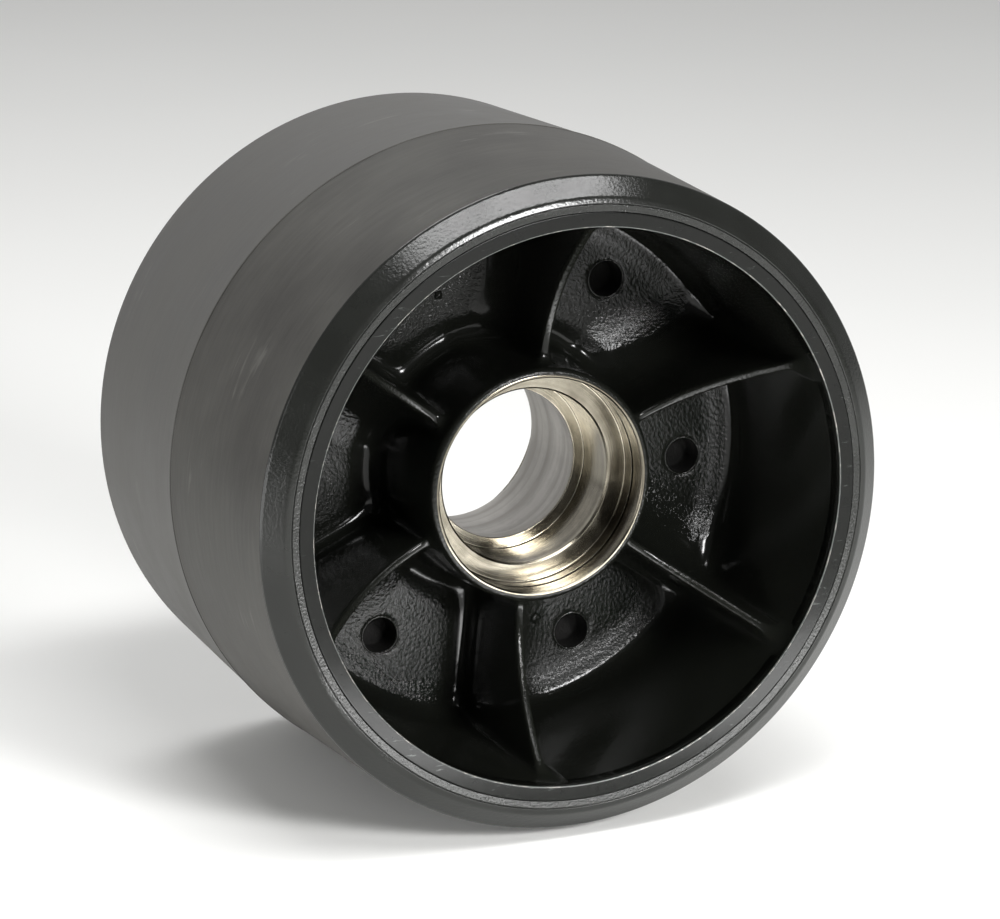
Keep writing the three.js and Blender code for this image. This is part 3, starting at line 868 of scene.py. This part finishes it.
def treadHalf(side):
    # points from the corner to the ridge, close enough for the crown's slope to shade evenly
    t = tyre
    start, end = side * (t["treadWidth"] / 2 - t["cornerReach"]), t["parting"] + side * t["ridgeWidth"]
    share = np.linspace(0, 1, t["treadPoints"])
    slope = (crownRadius - t["shoulder"]) / abs(t["parting"] - side * t["treadWidth"] / 2)
    places = start + (end - start) * share
    return [(t["shoulder"] + slope * (side * t["treadWidth"] / 2 - y) * side, y) for y in places]


def tyreOutline():
    t = tyre
    lead = (t["shoulder"] + 0.4, t["treadWidth"] / 2 - t["cornerReach"])  # aims the corner, and isn't kept
    front = roundedOutline(sidewall(-1) + [(lead[0], -lead[1], 0)], steps=5)[:-1]
    rear = roundedOutline(sidewall(1) + [(lead[0], lead[1], 0)], steps=5)[:-1]
    top = [(crownRadius + lift, t["parting"] + aside) for lift, aside in [
        (0, -1.0), (-t["ridge"] * 2, -0.6), (-t["ridge"] * 2, -0.3), (t["ridge"], -0.1),
        (t["ridge"], 0.15), (-t["ridge"], 0.35), (0, 0.9)]]
    return [tuple(p) for p in front] + treadHalf(-1) + top + treadHalf(1)[::-1] + [tuple(p) for p in rear[::-1]]


def tyreMaterialAt(r, y):
    if abs(y) < tyre["treadWidth"] / 2 - tyre["paintReach"] and r > tyre["treadInner"]:
        return 0
    return 2 if r < tyre["flashOuter"] else 1


rubber = treadRubber({**tyre["rubber"], "partingPlace": tyre["parting"]})
wallPaint = sidewallPaint(tyre["paint"])
flashPaint = sidewallPaint(tyre["flash"])
flashPaint.name = "enamelOverRubberFlash"
tyrePiece = turnedPiece("tyre", tyreOutline(), tyre["facets"], [rubber, wallPaint, flashPaint], tyreMaterialAt)
print("tyre built")


# ---- onto the frame

ribNodes = [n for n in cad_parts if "_rib_" in n]
for piece, slot, stands in [
        (wheelCasting, "casting_paint", ["web"] + ribNodes), (padHoles, "casting_paint", ["web"]),
        (castingPips, "casting_paint", ["web"]), (frontRim, "casting_paint", ["rim"]),
        (rearRim, "casting_paint", ["rim"]), (machinedBore, "machined_bore", ["hub"]),
        (tyrePiece, "tyre_rubber", ["rubber_tyre"])]:
    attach(piece, "root")
    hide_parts(*stands)


# ---- studio

studio = {
    "floor": {"colour": "#f0f0ee", "thinColour": "#f4f4f2", "cloudSize": 400.0},
    "floorHalf": 8000.0, "floorGap": 0.3,  # millimetres; the rest is in metres
    "frontGlow": 0.13, "backGlow": 0.75, "glowSpan": (-0.1, 0.8),  # a dark room in front, a lit wall behind
    "lights": [  # name, place, aim, size, power
        ("keyBox", (0.2, -0.98, 1.84), (0, 0, 0), (1.9, 0.32), 29),
        ("frontBox", (0.455, -1.82, 0.68), (0, 0, 0), (0.5, 0.4), 44),
        ("leftStrip", (-1.9, -0.9, 0.3), (0, 0, 0), (0.3, 1.2), 3),
        ("backBox", (-0.3, 1.1, 2.2), (-0.3, 0.7, -0.17), (1.2, 0.8), 22),
        ("lowBounce", (0.05, -0.25, -0.168), (0.05, -0.08, 0.1), (0.4, 0.12), 2.0),
        ("floorGlow", (-0.8, -0.1, -0.15), (-0.1, 0, -0.1), (0.7, 0.5), 3.4)],
}
half, low = studio["floorHalf"], tyreLow.z - studio["floorGap"]
floor = newObject("floor", [(x, y, low) for x, y in [(-half, -half), (half, -half), (half, half), (-half, half)]],
                  [(0, 1, 2, 3)])
floor.data.materials.append(studioFloor(studio["floor"]))

world = bpy.data.worlds.new("studioWorld")
scene.world = world
world.use_nodes = True
sky = world.node_tree.nodes["Background"]
direction = addNode(world.node_tree, "ShaderNodeSeparateXYZ", None, {
    "Vector": addNode(world.node_tree, "ShaderNodeTexCoord").outputs["Generated"]})
glow = addNode(world.node_tree, "ShaderNodeMapRange", {"interpolation_type": "SMOOTHSTEP"}, {
    "Value": direction.outputs["Y"], "From Min": studio["glowSpan"][0], "From Max": studio["glowSpan"][1],
    "To Min": studio["frontGlow"], "To Max": studio["backGlow"]})
sky.inputs["Color"].default_value = (1, 1, 1, 1)
world.node_tree.links.new(glow.outputs[0], sky.inputs["Strength"])
for name, place, aim, size, power in studio["lights"]:
    lamp = bpy.data.lights.new(name, "AREA")
    lamp.shape, lamp.size, lamp.size_y, lamp.energy = "RECTANGLE", size[0], size[1], power
    lampObject = bpy.data.objects.new(name, lamp)
    scene.collection.objects.link(lampObject)
    lampObject.location = place
    lampObject.visible_camera = False
    lampObject.rotation_euler = (Vector(aim) - Vector(place)).to_track_quat("-Z", "Y").to_euler()

view = {"azimuth": -23.431, "elevation": 15.158, "roll": -0.298, "lens": 160.58,
        "distance": 2.18044, "aside": -0.03726, "above": 0.022965, "aimY": -0.11857}
azimuth, elevation, roll = (radians(view[k]) for k in ("azimuth", "elevation", "roll"))
back = Vector((sin(azimuth) * cos(elevation), -cos(azimuth) * cos(elevation), sin(elevation)))
right = Vector((cos(azimuth), sin(azimuth), 0))
up = back.cross(right)
right, up = right * cos(roll) + up * sin(roll), up * cos(roll) - right * sin(roll)
cameraData = bpy.data.cameras.new("camera")
cameraData.lens, cameraData.sensor_width, cameraData.clip_end = view["lens"], 36.0, 100.0
camera = bpy.data.objects.new("camera", cameraData)
scene.collection.objects.link(camera)
turnMatrix = Matrix((right, up, back)).transposed()
eye = back * view["distance"] + right * view["aside"] + up * view["above"] + Vector((0, view["aimY"], 0))
camera.matrix_world = Matrix.Translation(eye) @ turnMatrix.to_4x4()
scene.camera = camera
scene.view_settings.view_transform = "Standard"
print("studio and camera set")
